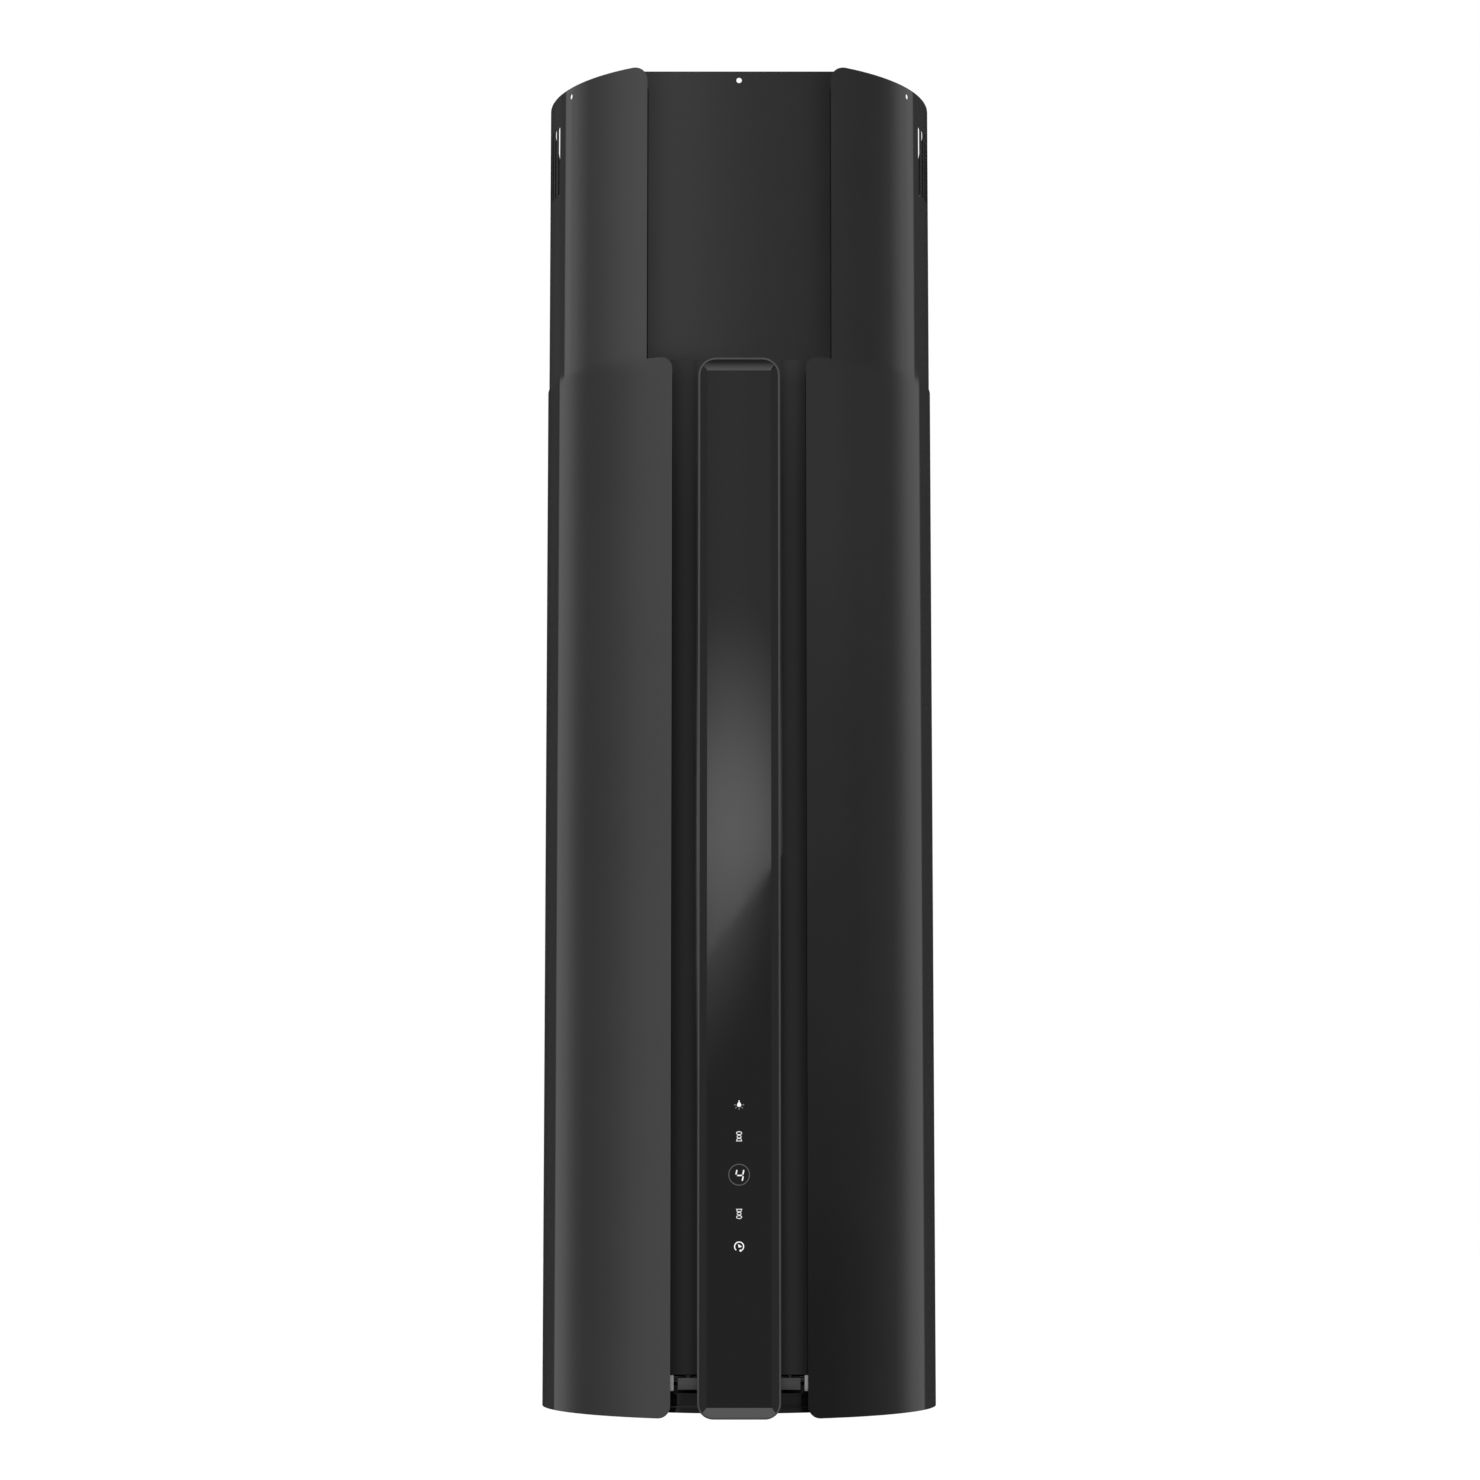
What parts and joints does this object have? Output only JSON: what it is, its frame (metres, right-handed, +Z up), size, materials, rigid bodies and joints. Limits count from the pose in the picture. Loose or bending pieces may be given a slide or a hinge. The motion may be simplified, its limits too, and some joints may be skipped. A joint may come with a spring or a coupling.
{
  "type": "cooker hood",
  "caption": "Round-fronted black wall hood with a touch control bar in a recessed channel, vented telescopic chimney, blower, non-return flaps and drop-down grease filter.",
  "frame": {"origin": "centre of the four wall bolts, on the wall plane at the rear face of the back plate", "axes": "+Z up, +Y into the wall, -Y towards the user, +X to the right as seen from the front"},
  "size_m": [0.39, 0.39, 1.3117],
  "materials": {
    "black_paint": "satin powder coat",
    "gloss_black": "high gloss enamel",
    "zinc_steel": "bright zinc plate",
    "satin_steel": "satin",
    "trim_metal": "dark anodised, satin",
    "black_glass": "black-backed tempered glass, polished bevels",
    "black_plastic": "fine moulded texture",
    "grey_plastic": "moulded",
    "white_plastic": "moulded",
    "circuit_board": "solder mask",
    "display_face": "dark filter",
    "light_guide": "clear white acrylic",
    "bright_steel": "ground",
    "core_steel": "laminated",
    "copper": "enamelled copper winding",
    "rubber": "matte",
    "aluminium": "brushed",
    "filter_mesh": "expanded mesh",
    "lamp_lens": "frosted",
    "black_screw": "blackened steel"
  },
  "bodies": {
    "hood": {"left_shell": "black_paint", "right_shell": "black_paint", "front_channel": "black_paint", "back_plate": "zinc_steel", "bottom_cover": "gloss_black", "front_bracket": "satin_steel", "wing_bracket_left": "zinc_steel", "wing_bracket_right": "zinc_steel", "cover_brackets": "zinc_steel", "bracket_screws": "black_screw", "control_glass": "black_glass", "control_trim": "trim_metal", "control_tray": "black_plastic", "touch_board": "circuit_board", "display_module": "display_face", "key_light_guides": "light_guide", "scroll_left": "black_plastic", "scroll_right": "black_plastic", "inlet_ring_left": "grey_plastic", "inlet_ring_right": "grey_plastic", "outlet_adapter": "grey_plastic", "blower_hanger": "zinc_steel", "scroll_screws": "zinc_steel", "motor_case": "zinc_steel", "motor_cap": "zinc_steel", "stator": "copper", "bearing_inner": "bright_steel", "bearing_outer": "bright_steel", "motor_spider": "zinc_steel", "motor_grommets": "rubber", "flap_pin": "bright_steel", "junction_box": "grey_plastic", "junction_lid": "grey_plastic", "power_board": "circuit_board", "run_capacitor": "white_plastic", "terminal_block": "white_plastic", "cable_gland": "black_plastic", "gland_nut": "black_plastic", "filter_magnets": "core_steel", "lamp_housing_left": "black_plastic", "lamp_housing_right": "black_plastic", "lamp_lens_left": "lamp_lens", "lamp_lens_right": "lamp_lens", "lamp_bezel_left": "satin_steel", "lamp_bezel_right": "satin_steel"},
    "chimney": {"chimney_left": "black_paint", "chimney_right": "black_paint", "chimney_channel": "black_paint", "chimney_wall_bracket": "zinc_steel", "chimney_tie": "zinc_steel"},
    "rotor": {"impeller_blades": "grey_plastic", "impeller_rings": "grey_plastic", "impeller_disc": "grey_plastic", "motor_shaft": "bright_steel", "rotor_core": "core_steel"},
    "flap_front": {"flap_front": "grey_plastic"},
    "flap_rear": {"flap_rear": "grey_plastic"},
    "filter": {"filter_frame": "aluminium", "filter_mesh": "filter_mesh", "filter_handle": "black_plastic"}
  },
  "joints": [
    {"name": "chimney_slide", "type": "slide", "parent": "hood", "child": "chimney", "axis": [0, 0, 1], "range_m": [-0.25, 0.05]},
    {"name": "impeller_spin", "type": "hinge", "parent": "hood", "child": "rotor", "pos_m": [0, -0.215, -0.205], "axis": [1, 0, 0], "continuous": true},
    {"name": "flap_front_hinge", "type": "hinge", "parent": "hood", "child": "flap_front", "pos_m": [0, -0.11801, 0.003], "axis": [-1, 0, 0], "range_deg": [0, 75]},
    {"name": "flap_rear_hinge", "type": "hinge", "parent": "hood", "child": "flap_rear", "pos_m": [0, -0.11801, 0.003], "axis": [1, 0, 0], "range_deg": [0, 75]},
    {"name": "filter_drop", "type": "hinge", "parent": "hood", "child": "filter", "pos_m": [0, -0.055, -0.469], "axis": [1, 0, 0], "range_deg": [0, 75]}
  ]
}
